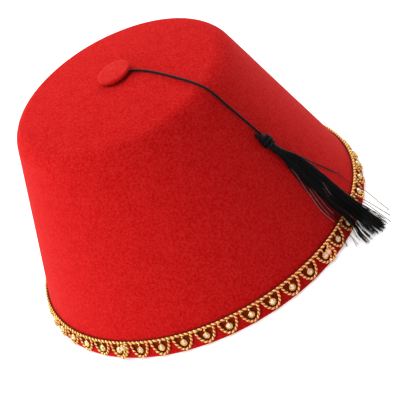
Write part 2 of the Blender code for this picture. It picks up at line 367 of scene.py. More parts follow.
# Windings along a thread, from the distance that each thread's surface keeps in its own attribute
def makeThreadWinding():
    group, fed, out = startGroup(
        "threadWinding",
        {"Pitch": ("Float", 0.35), "Unevenness": ("Float", 0.4)},
        {"Height": "Float", "Shade": "Float"})
    patches = noise(group, scaledVector(group, objectPlace(group), 1 / mm), scale=0.9)["Fac"]
    turns = over(group, kept(group, "along"), times(group, fed["Pitch"], mm))
    pushed = plus(group, turns, times(group, patches, fed["Unevenness"]))
    wave = maths(group, "SINE", times(group, pushed, math.tau))
    group.links.new(addNode(group, "ShaderNodeMath", {0: wave, 1: 0.5, 2: 0.5},
                            operation="MULTIPLY_ADD").outputs[0], out["Height"])
    group.links.new(patches, out["Shade"])
    return group


def newMaterial(name, constants):
    material = bpy.data.materials.new(name)
    material.use_nodes = True
    tree = material.node_tree
    shader = tree.nodes["Principled BSDF"]
    for label, value in constants.items():
        shader.inputs[label].default_value = value
    return material, tree, shader


def bumped(tree, shader, height, values):
    feeds = {"Height": height, "Distance": values["bump"] * mm, "Strength": values["bumpStrength"]}
    tree.links.new(addNode(tree, "ShaderNodeBump", feeds).outputs[0], shader.inputs["Normal"])


feltGrain = makeFeltGrain()
threadWinding = makeThreadWinding()


def makeFelt(name, sheen, paintedLight=0.0):
    material, tree, shader = newMaterial(name, {
        "Roughness": 0.95, "Specular IOR Level": 0.08,
        "Sheen Weight": sheen, "Sheen Roughness": 0.45, "Sheen Tint": felt["sheenTint"]})
    grain = addNode(tree, "ShaderNodeGroup", node_tree=feltGrain)
    paler = paintedLight * felt["paling"]
    for label in ("dark", "light"):
        red, green, blue, alpha = felt[label]
        color = (red * (1 + paintedLight), green + paler, blue + paler, alpha)
        grain.inputs[label.capitalize()].default_value = color
    grain.inputs["Nap size"].default_value = felt["napSize"]
    grain.inputs["Cloud size"].default_value = felt["cloudSize"]
    # the nap stands up more on the top
    height = separated(tree, objectPlace(tree))[2]
    start, end = felt["topStarts"]
    contrast = mapped(tree, height, start * mm, end * mm, *felt["contrast"])
    tree.links.new(contrast, grain.inputs["Contrast"])
    tree.links.new(grain.outputs["Color"], shader.inputs["Base Color"])
    bumped(tree, shader, grain.outputs["Height"], felt)
    return material


gold = {
    # painted shade: the dark colour that stands in for the shade where two strands meet
    "creviceShade": (0.16, 0.022, 0.003, 1.0),
    "dark": (1.0, 0.36, 0.10, 1.0),
    "light": (1.0, 0.57, 0.22, 1.0),
    "dullShine": 0.45,           # how far a dull thread is from the painted crevice shade to the foil's colour
    "winding": 0.42,             # mm between the windings of foil
    "bump": 0.05,
    "bumpStrength": 0.7,
    "metallic": 0.85,
    "shineTint": (1.0, 0.74, 0.46, 1.0),
    "roughness": (0.36, 0.22),   # between the windings and on them
    "tones": (0.35, 0.6),        # the shades that are dark foil and light foil
    "opening": (0.35, 0.75),     # how far out the painted crevice shade ends and the foil begins, in half widths
    "sideShade": (0.76, 0.94, 0.76),  # what the painted shade leaves of each colour
    "sideShadeLeft": (25.0, -85.0),   # mm across the hat, to where the painted shade is full
    "sideShadeRight": (80.0, 97.0),
    "patchSize": 9.0,
    "patchTones": (0.35, 0.6),   # of the noise that the patches come from
    "patches": (0.6, 1.2),       # how much of the painted shade falls outside the patches and in them
}


# Painted shade: the trim and its stones are painted duller and a little green towards both sides, most on
# the left, in uneven patches
def sideShade(tree, color):
    place = objectPlace(tree)
    across = separated(tree, place)[0]
    left, right = [mapped(tree, across, unshaded * mm, fullyShaded * mm)
                   for unshaded, fullyShaded in (gold["sideShadeLeft"], gold["sideShadeRight"])]
    spots = noise(tree, place, 1 / (gold["patchSize"] * mm))["Fac"]
    patches = mapped(tree, spots, *gold["patchTones"], *gold["patches"])
    shadedColor = vectorMaths(tree, "MULTIPLY", color, gold["sideShade"])
    return colorMix(tree, times(tree, plus(tree, left, right), patches), color, shadedColor)


# Foil thread: bright on the crown of each strand, with painted shade where two strands meet
def makeGold():
    material, tree, shader = newMaterial("goldThread", {
        "Metallic": gold["metallic"], "Specular IOR Level": 1.0, "Specular Tint": gold["shineTint"]})
    winding = addNode(tree, "ShaderNodeGroup", {"Pitch": gold["winding"]}, node_tree=threadWinding)
    tone = mapped(tree, winding.outputs["Shade"], *gold["tones"])
    foil = colorMix(tree, tone, gold["dark"], gold["light"])
    lit = mapped(tree, kept(tree, "standing"), *gold["opening"])
    tree.links.new(sideShade(tree, colorMix(tree, lit, gold["creviceShade"], foil)), shader.inputs["Base Color"])
    rough = mapped(tree, winding.outputs["Height"], 0.0, 1.0, *gold["roughness"])
    tree.links.new(rough, shader.inputs["Roughness"])
    bumped(tree, shader, winding.outputs["Height"], gold)
    return material


thread = {
    "dark": (0.0015, 0.0015, 0.0018, 1.0),
    "light": (0.005, 0.0055, 0.0055, 1.0),
    # painted highlight: the pale colour of threads that catch the light
    "glintColor": (0.55, 0.24, 0.25, 1.0),
    "roughness": 0.42,
    "glintRoughness": 0.5,
    "roughnessSpread": 0.1,
    "shine": 0.09,
    "winding": 0.5,              # mm
    "bump": 0.05,
    "bumpStrength": 0.6,
}


def makeThread(name, roughness, light):
    material, tree, shader = newMaterial(name, {"Specular IOR Level": thread["shine"]})
    winding = addNode(tree, "ShaderNodeGroup", {"Pitch": thread["winding"]}, node_tree=threadWinding)
    shade, spread = winding.outputs["Shade"], thread["roughnessSpread"]
    tree.links.new(colorMix(tree, shade, thread["dark"], light), shader.inputs["Base Color"])
    rough = mapped(tree, shade, 0.0, 1.0, roughness - spread, roughness + spread)
    tree.links.new(rough, shader.inputs["Roughness"])
    bumped(tree, shader, winding.outputs["Height"], thread)
    return material


glass = {
    "pink": (0.84, 0.51, 0.46, 1.0),
    "straw": (0.76, 0.59, 0.36, 1.0),
    "finish": {"Roughness": 0.08, "Metallic": 0.5, "Specular IOR Level": 0.8, "Coat Weight": 0.5,
               "Coat Roughness": 0.05},
}


# Champagne stones: each takes its own tint between pink and straw
def makeStone():
    material, tree, shader = newMaterial("champagneStone", glass["finish"])
    color = colorMix(tree, kept(tree, "tint"), glass["pink"], glass["straw"])
    # the stones take the same painted shade towards both sides
    tree.links.new(sideShade(tree, color), shader.inputs["Base Color"])
    return material


backing = {
    "netDark": (0.17, 0.018, 0.001, 1.0),
    "netLight": (0.38, 0.07, 0.004, 1.0),
    "edgeDark": (0.10, 0.004, 0.002, 1.0),
    "edgeLight": (0.22, 0.006, 0.004, 1.0),
    "spotsPerMetre": 700.0,
}


def makeBacking(name, dark, light):
    material, tree, shader = newMaterial(name, {"Roughness": 0.8, "Specular IOR Level": 0.2})
    spots = noise(tree, objectPlace(tree), backing["spotsPerMetre"])["Fac"]
    tree.links.new(colorMix(tree, spots, dark, light), shader.inputs["Base Color"])
    return material


feltRed = makeFelt("redFelt", felt["sheen"])
# the button takes a copy of the red felt painted a little lighter: painted light, with more sheen
litButtonRed = makeFelt("litButtonFelt", felt["buttonSheen"], felt["buttonPaintedLight"])
goldThread = makeGold()
blackThread = makeThread("blackThread", thread["roughness"], thread["light"])
glintThread = makeThread("glintThread", thread["glintRoughness"], thread["glintColor"])
stoneGlass = makeStone()
darkNet = makeBacking("netThread", backing["netDark"], backing["netLight"])
edgeRed = makeBacking("edgeThread", backing["edgeDark"], backing["edgeLight"])
print("materials built")


# Tree: threads twisted round guide lines

def makeTwistTree():
    tree, fed = startTree("twistedCord", {
        "Strands": "Int", "Radius": "Float", "Strand radius": "Float", "Second radius": "Float",
        "Second shine": "Float", "Pitch": "Float", "Step": "Float", "Sides": "Int",
        "Material": "Material"})
    curves = geometryNode(tree, "MeshToCurve", {0: fed["Geometry"]})
    spaced = geometryNode(tree, "ResampleCurve", {"Curve": curves, "Length": fed["Step"]}, mode="LENGTH")
    copies = addNode(tree, "GeometryNodeDuplicateElements",
                     {"Geometry": spaced, "Amount": fed["Strands"]}, domain="SPLINE").outputs
    walked = addNode(tree, "GeometryNodeSplineParameter").outputs
    lineLength = addNode(tree, "GeometryNodeSplineLength").outputs["Length"]
    turns = maths(tree, "ROUND", over(tree, lineLength, fed["Pitch"]))
    start = over(tree, copies["Duplicate Index"], fed["Strands"])
    angle = times(tree, plus(tree, times(tree, walked["Factor"], turns), start), math.tau)
    # every second strand may be thinner and duller
    second = maths(tree, "MODULO", copies["Duplicate Index"], 2.0)
    own = plus(tree, fed["Strand radius"],
               times(tree, second, minus(tree, fed["Second radius"], fed["Strand radius"])))
    shine = plus(tree, 1.0, times(tree, second, minus(tree, fed["Second shine"], 1.0)))
    normal = addNode(tree, "GeometryNodeInputNormal").outputs["Normal"]
    tangent = geometryNode(tree, "InputTangent")
    across = vectorMaths(tree, "CROSS_PRODUCT", tangent, normal)
    outwards = vectorMaths(tree, "ADD", scaledVector(tree, normal, maths(tree, "COSINE", angle)),
                           scaledVector(tree, across, maths(tree, "SINE", angle)))
    here = geometryNode(tree, "InputPosition")
    noted = stored(tree, copies["Geometry"], "middle", here, "FLOAT_VECTOR")
    offset = scaledVector(tree, outwards, minus(tree, fed["Radius"], own))
    twisted = geometryNode(tree, "SetPosition", {"Geometry": noted, "Offset": offset})
    measured = stored(tree, twisted, "along", walked["Length"])
    ring = geometryNode(tree, "CurvePrimitiveCircle", {"Resolution": fed["Sides"], "Radius": 1.0})
    tube = geometryNode(tree, "CurveToMesh", {
        "Curve": measured, "Profile Curve": ring, "Scale": own, "Fill Caps": True})
    # how far each place stands from the cord's middle, as a share of its half width
    feeds = {0: here, 1: named(tree, "middle", "FLOAT_VECTOR")}
    apart = addNode(tree, "ShaderNodeVectorMath", feeds, operation="DISTANCE").outputs["Value"]
    stood = stored(tree, tube, "standing", times(tree, over(tree, apart, fed["Radius"]), shine))
    cleared = geometryNode(tree, "RemoveAttribute", {"Geometry": stood, "Name": "middle"})
    endTree(tree, cleared, fed["Material"])
    return tree


twistTree = makeTwistTree()


# width is over the whole cord, fullness is how thick its strands are, with 1 where they just touch,
# and thinness is how thick every second strand is beside the first. One strand alone isn't twisted: it
# only takes the steps along its line from the pitch.
def twistedThreads(name, lines, width, pitch, material, strands=1, sides=6, stepsPerTurn=8, closed=False,
                   fullness=1.12, hand=1, thinness=1.0):
    radius = width / 2 * mm
    strandRadius = radius
    if strands == 2:
        strandRadius = radius / (1 + thinness) * fullness
    elif strands > 2:
        strandRadius = radius / (1 + 1 / math.sin(math.pi / strands)) * fullness
    return grown(name, guideLines(name + "Guide", lines, closed), twistTree, {
        "Strands": strands,
        "Radius": radius,
        "Strand radius": strandRadius,
        "Second radius": strandRadius * thinness,
        "Second shine": 1.0 if thinness == 1.0 else gold["dullShine"],
        "Pitch": hand * pitch * mm,
        "Step": pitch * mm / stepsPerTurn,
        "Sides": sides,
        "Material": material,
    })


# The cord comes first: its route is the one that the CAD has

cord = {
    "length": 100.0,              # mm
    "width": 1.42,
    "fullWidth": 1.5,             # with its loose fibres
    "strands": 3,
    "pitch": 4.2,
    "spacing": 1.0,
    "route": (
        (-0.6, 0.8, 113.6), (3.6, -0.8, 113.6), (7.9, -3.8, 113.6), (12.8, -9.0, 113.5),
        (18.2, -16.6, 112.9), (23.2, -24.6, 112.1), (27.8, -32.0, 111.1), (31.6, -38.3, 110.1),
        (34.6, -43.2, 108.8), (36.9, -46.6, 106.4), (38.7, -48.4, 102.9), (40.7, -49.2, 97.2),
        (43.2, -49.8, 90.4), (45.7, -50.5, 83.7), (48.0, -51.1, 77.4), (50.0, -52.1, 72.3),
    ),
}
cordLine = smoothPoints(cord["route"], cord["spacing"])
cordLength = sum((end - start).length for start, end in zip(cordLine, cordLine[1:]))
tasselCord = twistedThreads("cord", [cordLine], cord["width"], cord["pitch"], blackThread,
                            strands=cord["strands"], sides=8)
print(f"cord twisted, {cordLength / mm:.1f} mm long")


# Crown: one felt wall turned from its section, with a slight lean and soft unevenness

crown = {
    "rimRadius": 93.0,           # mm, as the CAD solid
    "shoulderRadius": 60.5,
    "shoulderHeight": 107.2,
    "shoulderRounding": 11.7,
    "height": 112.8,
    "thickness": 2.5,
    "rimSoftening": 0.35,
    "edgeShares": (0.25, 0.55, 1.0),  # of the quarter turn round each corner of the cut edge
    "lean": -1.5,                # mm at the shoulder
    "steps": 256,
    "wallRows": 46,
    "domeRows": 26,
    "roundingRows": 16,
    "unevenness": 0.3,           # mm
    "unevenSize": 34.0,
    "unevenTop": 6.0,            # a power: the higher, the nearer the top it goes up and down
}
wallAngle = math.atan2(crown["rimRadius"] - crown["shoulderRadius"], crown["shoulderHeight"])


# A place in millimetres up the wall from the rim and out from its face
def onWall(azimuth, up, out):
    radius = crown["rimRadius"] - up * math.sin(wallAngle) + out * math.cos(wallAngle)
    height = up * math.cos(wallAngle) + out * math.sin(wallAngle)
    drift = crown["lean"] * height / crown["shoulderHeight"]
    return Vector((radius * math.cos(azimuth) + drift, radius * math.sin(azimuth), height)) * mm


# (radius, height) from the dome's top to the top of the wall, moved inwards by inset
def crownLine(inset, domeRows, roundingRows):
    rise = crown["height"] - crown["shoulderHeight"]
    domeRadius = (crown["shoulderRadius"] ** 2 + rise ** 2) / (2 * rise)
    domeCentre = crown["height"] - domeRadius
    rounding = crown["shoulderRounding"]
    along = Vector((-math.sin(wallAngle), math.cos(wallAngle)))
    inward = Vector((-along.y, along.x))
    start = Vector((crown["rimRadius"], -domeCentre)) + inward * rounding
    middle = start.dot(along)
    reach = math.sqrt(middle ** 2 - start.dot(start) + (domeRadius - rounding) ** 2)
    centre = start + along * (reach - middle)
    first = math.atan2(centre.y, centre.x)
    last = math.atan2(-inward.y, -inward.x)
    line = []
    for row in range(domeRows):
        angle = (math.pi / 2 - first) * row / domeRows
        line.append(((domeRadius - inset) * math.sin(angle),
                     domeCentre + (domeRadius - inset) * math.cos(angle)))
    for row in range(roundingRows + 1):
        angle = first + (last - first) * row / roundingRows
        line.append((centre.x + (rounding - inset) * math.cos(angle),
                     domeCentre + centre.y + (rounding - inset) * math.sin(angle)))
    return line


def crownSection():
    outside = crownLine(0.0, crown["domeRows"], crown["roundingRows"])
    inside = crownLine(crown["thickness"], crown["domeRows"] // 2, crown["roundingRows"] // 2)
    soft = crown["rimSoftening"]
    slope = math.tan(wallAngle)
    outerFoot = crown["rimRadius"] - soft * slope
    innerFoot = crown["rimRadius"] - crown["thickness"] / math.cos(wallAngle) - soft * slope

    def wallRows(top, foot, rows):
        return [(top[0] + (foot - top[0]) * row / rows, top[1] + (soft - top[1]) * row / rows)
                for row in range(1, rows + 1)]

    outside += wallRows(outside[-1], outerFoot, crown["wallRows"])
    inside += wallRows(inside[-1], innerFoot, crown["wallRows"] // 2)
    # the cut edge is rounded on both corners
    edge = []
    for centre, side in ((outerFoot - soft, 1), (innerFoot + soft, -1)):
        corner = [(centre + side * soft * math.cos(turn), soft - soft * math.sin(turn))
                  for turn in (share * math.pi / 2 for share in crown["edgeShares"])]
        edge += corner[::side]
    return outside + edge + inside[::-1]


def makeFeltTree():
    tree, fed = startTree("turnedFelt", {
        "Steps": "Int", "Lean": "Float", "Lean height": "Float", "Unevenness": "Float",
        "Uneven size": "Float", "Material": "Material"})
    rows = geometryNode(tree, "AttributeDomainSize", {0: fed["Geometry"]}, component="MESH")
    grid = addNode(tree, "GeometryNodeMeshGrid", {
        "Size X": 1.0, "Size Y": 1.0, "Vertices X": plus(tree, fed["Steps"], 1.0),
        "Vertices Y": rows}).outputs
    flat = stored(tree, grid["Mesh"], "UVMap", grid["UV Map"], "FLOAT2", "CORNER")
    position = geometryNode(tree, "InputPosition")
    x, y = separated(tree, position)[:2]
    turn = times(tree, plus(tree, x, 0.5), math.tau)
    row = maths(tree, "ROUND", times(tree, plus(tree, y, 0.5), minus(tree, rows, 1.0)))
    place = geometryNode(tree, "SampleIndex", {
        "Geometry": fed["Geometry"], "Value": position, "Index": row}, data_type="FLOAT_VECTOR")
    radius, _, height = separated(tree, place)
    cosine, sine = maths(tree, "COSINE", turn), maths(tree, "SINE", turn)
    bare = combined(tree, times(tree, radius, cosine), times(tree, radius, sine), height)
    hollows = noise(tree, bare, over(tree, 1.0, fed["Uneven size"]), detail=1.0)["Fac"]
    swell = times(tree, minus(tree, hollows, 0.5), fed["Unevenness"])
    wide = times(tree, radius, plus(tree, over(tree, swell, fed["Lean height"]), 1.0))
    upShare = over(tree, height, fed["Lean height"])
    drift = times(tree, upShare, fed["Lean"])
    lifted = plus(tree, height, times(tree, swell, maths(tree, "POWER", upShare, crown["unevenTop"])))
    shaped = combined(tree, plus(tree, times(tree, wide, cosine), drift), times(tree, wide, sine), lifted)
    turned = geometryNode(tree, "SetPosition", {"Geometry": flat, "Position": shaped})
    merged = geometryNode(tree, "MergeByDistance", {"Geometry": turned, "Distance": weld})
    endTree(tree, merged, fed["Material"])
    return tree


def makeCrown():
    section = [Vector((radius, 0.0, height)) * mm for radius, height in crownSection()]
    return grown("crownFelt", guideLines("crownSection", [section]), makeFeltTree(), {
        "Steps": crown["steps"],
        "Lean": crown["lean"] * mm,
        "Lean height": crown["shoulderHeight"] * mm,
        "Unevenness": crown["unevenness"] * mm,
        "Uneven size": crown["unevenSize"] * mm,
        "Material": feltRed,
    })


crownFelt = makeCrown()
print("crown turned:", len(crownFelt.data.polygons), "faces")


# Button: a disc of the same felt, painted a little lighter, a little crowned and soft at its edge

button = {
    "radius": 9.2,               # mm
    "thickness": 2.0,
    "softening": 0.95,
    "lift": 1.75,                # over the crown's height
    "place": (-0.5, 0.0),        # of its middle, from the rim's
    "normal": (-0.06, -0.025, 1.0),
    "crowning": 0.35,            # how much the middle stands over the edge
    "topShares": (0.0, 0.15, 0.3, 0.45, 0.6, 0.75, 0.87),
    "bottomShares": (0.6, 0.3, 0.0),
    "cornerRows": 5,
    "steps": 72,
}


def makeButton():
    radius, thickness, soft = button["radius"], button["thickness"], button["softening"]
    inner, upper = radius - soft, thickness - soft
    arc = [math.pi / 2 * row / button["cornerRows"] for row in range(button["cornerRows"] + 1)]
    section = [(radius * share, thickness + button["crowning"] * (1 - share ** 2) ** 1.5)
               for share in button["topShares"]]
    section += [(inner + soft * math.sin(turn), upper + soft * math.cos(turn)) for turn in arc]
    section += [(inner + soft * math.cos(turn), soft - soft * math.sin(turn)) for turn in arc]
    section += [(radius * share, 0.0) for share in button["bottomShares"]]
    shape = turnedShape(section, button["steps"])
    normal = Vector(button["normal"]).normalized()
    underside = Vector((*button["place"], crown["height"] + button["lift"])) * mm
    place = Matrix.Translation(underside) @ normal.to_track_quat("Z", "Y").to_matrix().to_4x4()
    bmesh.ops.transform(shape, matrix=place, verts=shape.verts)
    return finished("buttonFelt", shape, litButtonRed, smooth=True)


buttonFelt = makeButton()
print("button made")


# Braid: a header rope, one loop for each stone, a stem and a cup

braid = {
    "scallops": 46,
    "firstStone": -57.05,        # degrees
    "headerUp": 9.6,             # mm up the wall from the rim
    "stoneUp": 5.25,
    "loopLow": 1.7,
    "loopHalf": 5.05,            # mm from a loop's middle to either side
    "gap": 0.2,                  # between felt and braid
    "headerWidth": 1.7,
    "headerPitch": 2.54,
    "loopWidth": 1.6,
    "loopPitch": 2.1,
    "fullness": 1.1,
    "thinness": 0.56,            # a dull thread runs round with the foil
    "stemWidth": 1.25,
    "stemPitch": 1.9,
    "stemOver": 1.0,             # how far it ends over its stone
    "loopSteps": 28,
    "headerSteps": 4,            # for each scallop
    "lapSteps": 24,
    "jitter": 0.2,               # mm, how far the hand-made loops wander
    "edgeThread": 0.35,          # a dark thread along the top edge of the header
    "edgePitch": 12.0,
    "lapRise": 1.1,              # how far a lap stands over what it covers
    "seed": 11,
    # where the braid's lengths meet, the end of one lies over the other: mm along the rim and up the wall
    "laps": (
        {"index": 0, "moved": 0.0, "narrow": 0.4, "stone": (2.5, 5.7),
         "stem": ((4.5, 9.6), (3.3, 7.4)),
         "loop": ((4.6, 9.7), (4.8, 6.6), (5.6, 4.6), (4.9, 2.4), (2.4, 1.3), (0.6, 1.4))},
        {"index": -10, "moved": -0.9, "narrow": 0.5, "stone": (2.5, 7.0),
         "stem": ((2.4, 9.6), (2.3, 8.2)),
         "loop": ((5.2, 9.9), (5.7, 8.2), (5.6, 5.9), (4.5, 4.0), (2.8, 2.2), (0.8, 1.2))},
    ),
}


def stoneAzimuth(index):
    return math.radians(braid["firstStone"]) + math.tau * index / braid["scallops"]


# Where a scallop's middle is, and its loop's half width: both change a little under a lap
def scallop(index):
    azimuth, halfWidth = stoneAzimuth(index), braid["loopHalf"]
    for lap in braid["laps"]:
        if lap["index"] % braid["scallops"] == index:
            azimuth += lap["moved"] / crown["rimRadius"]
            halfWidth -= lap["narrow"]
    return azimuth, halfWidth


def loopLine(azimuth, halfWidth, wander, out):
    depth = braid["headerUp"] - braid["loopLow"] + wander
    line = []
    for step in range(braid["loopSteps"] + 1):
        turn = math.pi * step / braid["loopSteps"]
        aside = -halfWidth * math.cos(turn) / crown["rimRadius"]
        line.append(onWall(azimuth + aside, braid["headerUp"] - depth * math.sin(turn), out))
    return line


# A curve on the wall beside a stone, through places in mm along the rim and up the wall
def besideStone(azimuth, places, out):
    corners, steps = [Vector(place) for place in places], braid["lapSteps"]
    curve = [between(corners, step / steps) for step in range(steps + 1)]
    return [onWall(azimuth + place.x / crown["rimRadius"], place.y, out) for place in curve]


def makeBraid():
    dice = random.Random(braid["seed"])
    wander = [dice.uniform(-1, 1) * braid["jitter"] for _ in range(braid["scallops"])]
    headerOut = braid["gap"] + braid["headerWidth"] / 2
    loopOut = braid["gap"] + braid["loopWidth"] / 2
    stemOut = braid["gap"] + braid["stemWidth"] / 2
    headerPoints = braid["headerSteps"] * braid["scallops"]
    stemUp = (braid["headerUp"], braid["stoneUp"] + braid["stemOver"])

    def ringAt(up, out):
        return [onWall(math.tau * index / headerPoints, up, out) for index in range(headerPoints)]

    header = ringAt(braid["headerUp"], headerOut)
    edge = ringAt(braid["headerUp"] + braid["headerWidth"] / 2, braid["edgeThread"] / 2)
    loops = []
    stems = []
    for index in range(braid["scallops"]):
        azimuth, halfWidth = scallop(index)
        loops.append(loopLine(azimuth, halfWidth, wander[index], loopOut))
        stems.append([onWall(azimuth, up, stemOut) for up in stemUp])
    for lap in braid["laps"]:
        azimuth = stoneAzimuth(lap["index"])
        loops.append(besideStone(azimuth, lap["loop"], loopOut + braid["lapRise"]))
        stems.append(besideStone(azimuth, lap["stem"], stemOut + braid["lapRise"]))
    foil = {"strands": 2, "fullness": braid["fullness"], "thinness": braid["thinness"]}
    return (
        twistedThreads("braidHeader", [header], braid["headerWidth"], braid["headerPitch"], goldThread,
                       sides=8, closed=True, **foil),
        twistedThreads("braidLoops", loops, braid["loopWidth"], braid["loopPitch"], goldThread,
                       sides=8, hand=-1, **foil),
        twistedThreads("braidStems", stems, braid["stemWidth"], braid["stemPitch"], goldThread,
                       sides=7, **foil),
        twistedThreads("braidEdge", [edge], braid["edgeThread"], braid["edgePitch"], edgeRed,
                       sides=5, closed=True),
    )


braidHeader, braidLoops, braidStems, braidEdge = makeBraid()
print("braid ropes twisted")


# Stones: turned cups and cut stones, set on points that know which way is out and up

stones = {
    "cupRadius": 2.0,            # mm
    "cupHeight": 1.25,
    "cupSides": 18,
    # shares of the cup's radius and height
    "cupSection": ((0.0, 0.0), (0.9, 0.0), (1.0, 0.2), (0.97, 0.8), (0.9, 1.0), (0.82, 0.92), (0.8, 0.5),
                   (0.0, 0.4)),
    "stoneRadius": 1.65,
    "stoneRise": 1.05,
    "girdleShare": 0.7,          # how high in the cup the stone's widest ring is
    "pointShare": 0.5,           # and its point, as a share of that
    # rings of corners from the girdle to the table
    "rings": (
        {"across": 1.0, "up": 0.0, "corners": 16, "turned": 0.0},
        {"across": 0.86, "up": 0.5, "corners": 8, "turned": 0.5},
        {"across": 0.5, "up": 1.0, "corners": 8, "turned": 0.0},
    ),
    "flatter": math.radians(0.5),  # faces that turn less than this become one facet
    "spread": 0.11,              # how much smaller the smallest is
    "pinkest": math.radians(-80),
    "pinkSpread": math.radians(45),
    "pinkShare": 0.8,
    "tintSpread": 0.2,
    "seed": 4,
}


def cupShape():
    radius, height = stones["cupRadius"], stones["cupHeight"]
    section = [(radius * across, height * up) for across, up in stones["cupSection"]]
    return finished("cupShape", turnedShape(section, stones["cupSides"]), smooth=True)


# Corners in rings, joined as a hull of flat facets
def stoneShape():
    radius, rise = stones["stoneRadius"], stones["stoneRise"]
    girdle = stones["cupHeight"] * stones["girdleShare"]
    shape = bmesh.new()
    for ring in stones["rings"]:
        across = radius * ring["across"]
        for index in range(ring["corners"]):
            angle = math.tau * (index + ring["turned"]) / ring["corners"]
            corner = (across * math.cos(angle), across * math.sin(angle), girdle + rise * ring["up"])
            shape.verts.new(Vector(corner) * mm)
    shape.verts.new((0.0, 0.0, girdle * stones["pointShare"] * mm))
    bmesh.ops.convex_hull(shape, input=shape.verts)
    bmesh.ops.dissolve_limit(shape, angle_limit=stones["flatter"], verts=shape.verts, edges=shape.edges)
    bmesh.ops.recalc_face_normals(shape, faces=shape.faces)
    return finished("stoneShape", shape)


def makeSettingTree():
    tree, fed = startTree("stoneSettings", {
        "Shape": "Object", "Spread": "Float", "Seed": "Int", "Material": "Material"})
    shape = addNode(tree, "GeometryNodeObjectInfo", {"Object": fed["Shape"]}).outputs["Geometry"]
    out, up = [named(tree, label, "FLOAT_VECTOR") for label in ("outward", "upward")]
    feeds = {"Primary Axis": out, "Secondary Axis": up}
    facing = addNode(tree, "FunctionNodeAxesToRotation", feeds).outputs[0]
    smallest = minus(tree, 1.0, fed["Spread"])
    size = addNode(tree, "FunctionNodeRandomValue", {2: smallest, 3: 1.0, "Seed": fed["Seed"]}).outputs[1]
    placed = geometryNode(tree, "InstanceOnPoints", {
        "Points": fed["Geometry"], "Instance": shape, "Rotation": facing, "Scale": size})
    bright = stored(tree, placed, "standing", 1.0, domain="INSTANCE")
    endTree(tree, bright, fed["Material"], smooth=False)
    return tree


def makeStones():
    seats = [(scallop(index)[0], braid["stoneUp"], braid["gap"]) for index in range(braid["scallops"])]
    for lap in braid["laps"]:
        aside, up = lap["stone"]
        azimuth = stoneAzimuth(lap["index"]) + aside / crown["rimRadius"]
        seats.append((azimuth, up, braid["gap"] + braid["lapRise"] / 2))
    # each stone's tint between pink and straw: pinker round the front
    dice = random.Random(stones["seed"])
    tints = []
    for azimuth, _, _ in seats:
        front = math.exp(-((azimuth - stones["pinkest"]) / stones["pinkSpread"]) ** 2)
        chance = dice.uniform(-stones["tintSpread"], stones["tintSpread"])
        tints.append(1.0 - stones["pinkShare"] * front + chance)
    notes = {
        "outward": [(onWall(azimuth, up, out + 1) - onWall(azimuth, up, out)).normalized()
                    for azimuth, up, out in seats],
        "upward": [(onWall(azimuth, up + 1, out) - onWall(azimuth, up, out)).normalized()
                   for azimuth, up, out in seats],
        "tint": tints,
    }
    tree = makeSettingTree()
    made = []
    for name, shape, material in (("stoneCups", cupShape(), goldThread),
                                  ("cutStones", stoneShape(), stoneGlass)):
        points = guideLines(name + "Points", [[onWall(*seat)] for seat in seats], notes=notes)
        made.append(grown(name, points, tree, {
            "Shape": shape, "Spread": stones["spread"], "Seed": stones["seed"], "Material": material}))
        bpy.data.objects.remove(shape, do_unlink=True)
    return made


stoneCups, cutStones = makeStones()
print("stones set")


# Net: a dark lattice behind each loop

net = {
    "spacing": 0.8,              # mm
    "width": 0.26,
    "out": 0.2,
    "pitch": 24.0,
    "samples": 60,               # along a thread, to find where it is cut off
    "fewest": 4,                 # samples in the loop, or the thread is left out
}


# Straight threads of both slants, each cut off at the half ellipse inside the loop
def netLines(azimuth):
    halfWidth, depth = braid["loopHalf"], braid["headerUp"] - braid["loopLow"]
    reach = halfWidth + depth
    lines = []
    for slant in (1, -1):
        shift = -reach
        while shift < reach:
            inside = []
            for step in range(net["samples"] + 1):
                across = -halfWidth + 2 * halfWidth * step / net["samples"]
                down = slant * across + shift
                if down > 0 and (across / halfWidth) ** 2 + (down / depth) ** 2 < 1:
                    inside.append((across, down))
            if len(inside) >= net["fewest"]:
                lines.append([
                    onWall(azimuth + across / crown["rimRadius"], braid["headerUp"] - down, net["out"])
                    for across, down in (inside[0], inside[-1])])
            shift += net["spacing"] * math.sqrt(2)
    return lines


netThreads = [line for index in range(braid["scallops"]) for line in netLines(stoneAzimuth(index))]
scallopNet = twistedThreads("scallopNet", netThreads, net["width"], net["pitch"], darkNet, sides=3)
print("net laid:", len(scallopNet.data.polygons), "faces")


# Tassel: locks of thread that leave the neck together, fan over the wall and bend out on the floor

